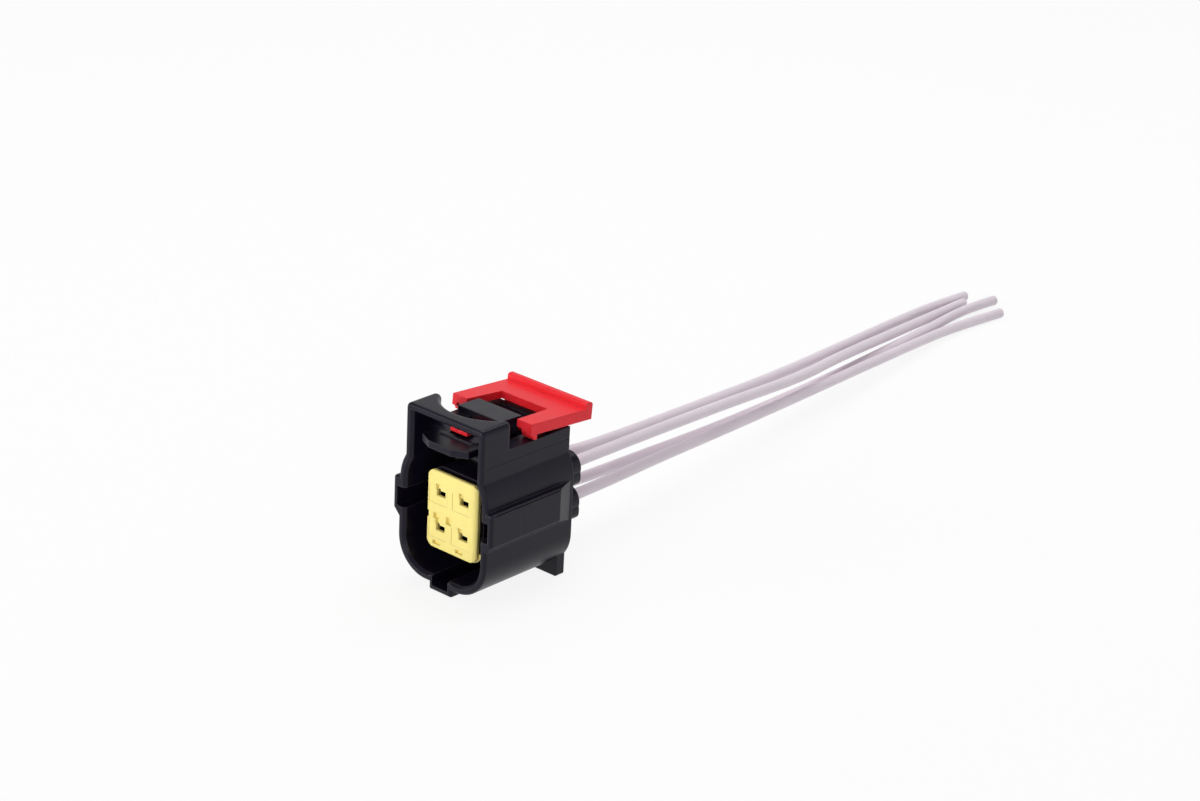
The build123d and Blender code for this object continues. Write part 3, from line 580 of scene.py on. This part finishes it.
def wire_seal(name, x, z, material):
    """Silicone seal turned about its wire: a neck, a soft shoulder, a core with round lips and a bore."""
    y = np.linspace(SEAL_START, SEAL_END, SEAL_STEPS)
    share = np.clip((y - SEAL_BODY) / (SEAL_END - SEAL_BODY), 0.0, 1.0)
    shoulder = np.clip((y - SEAL_BODY + SEAL_SHOULDER) / (2 * SEAL_SHOULDER), 0.0, 1.0)
    shoulder = shoulder * shoulder * (3 - 2 * shoulder)
    radius = SEAL_NECK_R + (SEAL_CORE_R - SEAL_NECK_R) * shoulder
    radius += (SEAL_LIP_R - SEAL_CORE_R) * lip_height(share, SEAL_LIPS)
    fall = np.minimum(y - SEAL_START, SEAL_END - y)
    radius -= edge_round(fall, SEAL_EDGE)
    mouth = SEAL_BORE_R + edge_round(fall, SEAL_BORE_EDGE)
    profile_y = np.concatenate((y, y[::-1]))
    profile_r = np.concatenate((radius, mouth[::-1]))
    centres = np.stack(np.broadcast_arrays(x, profile_y - BODY_Y, z), axis=1) * MM
    across = np.tile((1.0, 0.0, 0.0), (len(profile_y), 1))
    up = np.tile((0.0, 0.0, 1.0), (len(profile_y), 1))
    points = round_section(centres, profile_r * MM, across, up, SEAL_SIDES)[:, ::-1]
    faces = grid_faces(len(profile_y), SEAL_SIDES, ring=True).tolist()
    return surface(name, points, faces, material, "plug")


def ring_seal(name, material):
    """Seal band carried round the contact block: a rounded oblong with three soft lips outwards.

    A point of the oblong is its corner's centre plus the corner radius times the outward direction, and the
    profile adds its own height in that direction.
    """
    quarter = np.linspace(0.0, math.pi / 2, QUARTER_POINTS)
    turn = np.concatenate([quarter + k * math.pi / 2 for k in range(4)])
    out = np.stack((np.cos(turn), np.sin(turn)), axis=1)
    middle_z, half_z = (RING_LOW + RING_HIGH) / 2, (RING_HIGH - RING_LOW) / 2 - RING_CORNER
    signs = np.repeat(((1, 1), (-1, 1), (-1, -1), (1, -1)), QUARTER_POINTS, axis=0)
    oblong = signs * (RING_HALF_WIDTH - RING_CORNER, half_z) + out * RING_CORNER
    y = np.linspace(RING_START, RING_END, RING_STEPS)
    fall = np.minimum(y - RING_START, RING_END - y)
    height = RING_BASE + RING_LIP * lip_height((y - RING_START) / (RING_END - RING_START), RING_LIPS)
    height -= edge_round(fall, RING_EDGE)
    profile_y = np.concatenate((y, y[::-1]))
    profile_h = np.concatenate((height, np.zeros_like(y)))
    flat = oblong[None] + profile_h[:, None, None] * out[None]
    points = np.empty((len(profile_y), len(turn), 3))
    points[..., 0] = flat[..., 0]
    points[..., 1] = (profile_y - BODY_Y)[:, None]
    points[..., 2] = flat[..., 1] + middle_z
    faces = grid_faces(len(profile_y), len(turn), ring=True)[:, ::-1].tolist()
    return surface(name, points * MM, faces, material, "plug")


def backdrop(radius, height):
    """Pale floor that turns up into a round wall, bright to the camera and to reflections.

    The profile is flat out to the radius less the bend, then a quarter circle, then upright, turned about z.
    """
    flat = np.linspace(FLOOR_HOLE, radius - FLOOR_BEND, FLOOR_RINGS)[:-1]
    quarter = np.linspace(0.0, math.pi / 2, QUARTER_POINTS)
    out = np.concatenate((flat, radius - FLOOR_BEND + FLOOR_BEND * np.sin(quarter), (radius,)))
    up = np.concatenate((np.zeros_like(flat), FLOOR_BEND - FLOOR_BEND * np.cos(quarter), (height,)))
    turn = np.linspace(0.0, 2 * math.pi, FLOOR_SIDES, endpoint=False)
    points = np.empty((len(out), FLOOR_SIDES, 3))
    points[..., 0] = out[:, None] * np.cos(turn)
    points[..., 1] = out[:, None] * np.sin(turn)
    points[..., 2] = up[:, None]
    faces = grid_faces(len(out), FLOOR_SIDES)[:, ::-1].tolist() + [list(range(FLOOR_SIDES))]
    mesh = bpy.data.meshes.new("floor")
    mesh.from_pydata(points.reshape(-1, 3).tolist(), [], faces)
    mesh.shade_smooth()
    material, tree, links, shader = blank_material("pale_floor")
    shader.inputs["Base Color"].default_value = (0.93, 0.93, 0.93, 1.0)
    shader.inputs["Roughness"].default_value = 0.9
    shader.inputs["Specular IOR Level"].default_value = 0.0
    glow = node(tree, "ShaderNodeEmission")
    path = node(tree, "ShaderNodeLightPath")
    seen = node(tree, "ShaderNodeMath", operation="MAXIMUM")
    links.new(path.outputs["Is Camera Ray"], seen.inputs[0])
    links.new(path.outputs["Is Glossy Ray"], seen.inputs[1])
    through = node(tree, "ShaderNodeMath", operation="MAXIMUM")
    links.new(seen.outputs[0], through.inputs[0])
    links.new(path.outputs["Is Transmission Ray"], through.inputs[1])
    share = node(tree, "ShaderNodeMath", {1: FLOOR_GLOW}, operation="MULTIPLY")
    links.new(through.outputs[0], share.inputs[0])
    blend = node(tree, "ShaderNodeMixShader")
    links.new(share.outputs[0], blend.inputs[0])
    links.new(shader.outputs[0], blend.inputs[1])
    links.new(glow.outputs[0], blend.inputs[2])
    links.new(blend.outputs[0], tree.nodes["Material Output"].inputs["Surface"])
    mesh.materials.append(material)
    return new_object("floor", mesh)


class PLUG_OT_stage(bpy.types.Operator):
    """Sets the camera, the soft lamps, the room light and the backdrop"""
    bl_idname = "plug.stage"
    bl_label = "Stage"

    def execute(self, context):
        scene = context.scene
        settings = scene.plug_stage
        scene.view_settings.view_transform = "Standard"
        lens = bpy.data.cameras.new("camera")
        lens.sensor_width = SENSOR_WIDTH
        lens.lens = SENSOR_WIDTH * FOCAL_IN_WIDTHS
        lens.clip_start = 0.01
        lens.clip_end = 20.0
        camera = new_object("camera", lens)
        camera.matrix_world = Matrix.Translation(CAMERA_PLACE) @ Matrix(CAMERA_TURN).to_4x4()
        scene.camera = camera
        for name, power, (width, depth), place, target in LAMPS:
            light = bpy.data.lights.new(name, "AREA")
            light.shape = "RECTANGLE"
            light.size = width
            light.size_y = depth
            light.energy = getattr(settings, power)
            lamp = new_object(name, light)
            turn = (Vector(place) - Vector(target)).to_track_quat("Z", "Y")
            lamp.matrix_world = Matrix.Translation(place) @ turn.to_matrix().to_4x4()
        world = bpy.data.worlds.new("room")
        scene.world = world
        world.use_nodes = True
        background = world.node_tree.nodes["Background"]
        background.inputs["Color"].default_value = (1.0, 1.0, 1.0, 1.0)
        background.inputs["Strength"].default_value = settings.room_light
        backdrop(settings.backdrop_radius, settings.backdrop_height)
        return {"FINISHED"}


class PLUG_OT_finishes(bpy.types.Operator):
    """Gives the moulded and metal solids their finishes"""
    bl_idname = "plug.finishes"
    bl_label = "Finishes"

    def execute(self, context):
        scene = context.scene
        makers = {"housing": housing_material, "latch_arm": housing_material,
                  "position_lock_slide": red_material, "terminal_lock_plate": yellow_material}
        for number in range(1, len(CAVITIES) + 1):
            makers[f"terminal_{number}"] = contact_material
        for solid, maker in makers.items():
            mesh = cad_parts[solid].data
            mesh.materials.clear()
            mesh.materials.append(maker(scene))
        return {"FINISHED"}


class PLUG_OT_wires(bpy.types.Operator):
    """Lays the four loose wires and their copper cores"""
    bl_idname = "plug.wires"
    bl_label = "Wires"

    def execute(self, context):
        scene = context.scene
        sizes = scene.plug_sizes
        for number, ((x, z), route, length) in enumerate(zip(CAVITIES, ROUTES, WIRE_LENGTHS), start=1):
            core_path = route_path(((x, CORE_START_Y, z),) + route[1:])
            core = strand_bundle(f"strands_{number}", core_path, sizes.core_diameter / 2,
                                 copper_material(scene))
            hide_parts(f"conductor_{number}")
            path = route_path(route)
            bore = sizes.core_diameter / 2 + CORE_ROOM * MM
            wire = insulation_tube(f"insulation_{number}", path, sizes.wire_diameter / 2, bore,
                                   CUT_EDGE * MM, wire_material(scene))
            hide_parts(f"wire_{number}")
        return {"FINISHED"}


class PLUG_OT_seals(bpy.types.Operator):
    """Makes the ring seal and the four wire seals"""
    bl_idname = "plug.seals"
    bl_label = "Seals"

    def execute(self, context):
        scene = context.scene
        ring = ring_seal("ring_seal_lips", ring_material(scene))
        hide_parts("ring_seal")
        for number, (x, z) in enumerate(CAVITIES, start=1):
            seal = wire_seal(f"seal_{number}", x, z, seal_material(scene))
            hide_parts(f"wire_seal_{number}")
        return {"FINISHED"}


class PLUG_PT_panel(bpy.types.Panel):
    """Lists the steps that dress the plug"""
    bl_idname = "PLUG_PT_panel"
    bl_label = "Plug"
    bl_space_type = "VIEW_3D"
    bl_region_type = "UI"
    bl_category = "Plug"

    def draw(self, context):
        layout = self.layout
        for step in STEPS:
            layout.operator(step.bl_idname)
        for group in (context.scene.plug_sizes, context.scene.plug_colours, context.scene.plug_stage):
            box = layout.box()
            for name in group.__annotations__:
                box.prop(group, name)


STEPS = (PLUG_OT_stage, PLUG_OT_finishes, PLUG_OT_wires, PLUG_OT_seals)
CLASSES = (PlugSizes, PlugColours, PlugStage) + STEPS + (PLUG_PT_panel,)


def register():
    """Registers the classes and puts the settings on the scene."""
    for made in CLASSES:
        bpy.utils.register_class(made)
    bpy.types.Scene.plug_sizes = bpy.props.PointerProperty(type=PlugSizes)
    bpy.types.Scene.plug_colours = bpy.props.PointerProperty(type=PlugColours)
    bpy.types.Scene.plug_stage = bpy.props.PointerProperty(type=PlugStage)


def unregister():
    """Takes the settings and the classes away again."""
    del bpy.types.Scene.plug_stage
    del bpy.types.Scene.plug_colours
    del bpy.types.Scene.plug_sizes
    for made in reversed(CLASSES):
        bpy.utils.unregister_class(made)


def main():
    """Dresses the plug step by step."""
    register()
    bpy.ops.plug.stage()
    bpy.ops.plug.finishes()
    bpy.ops.plug.wires()
    bpy.ops.plug.seals()


if __name__ == "__main__":
    main()
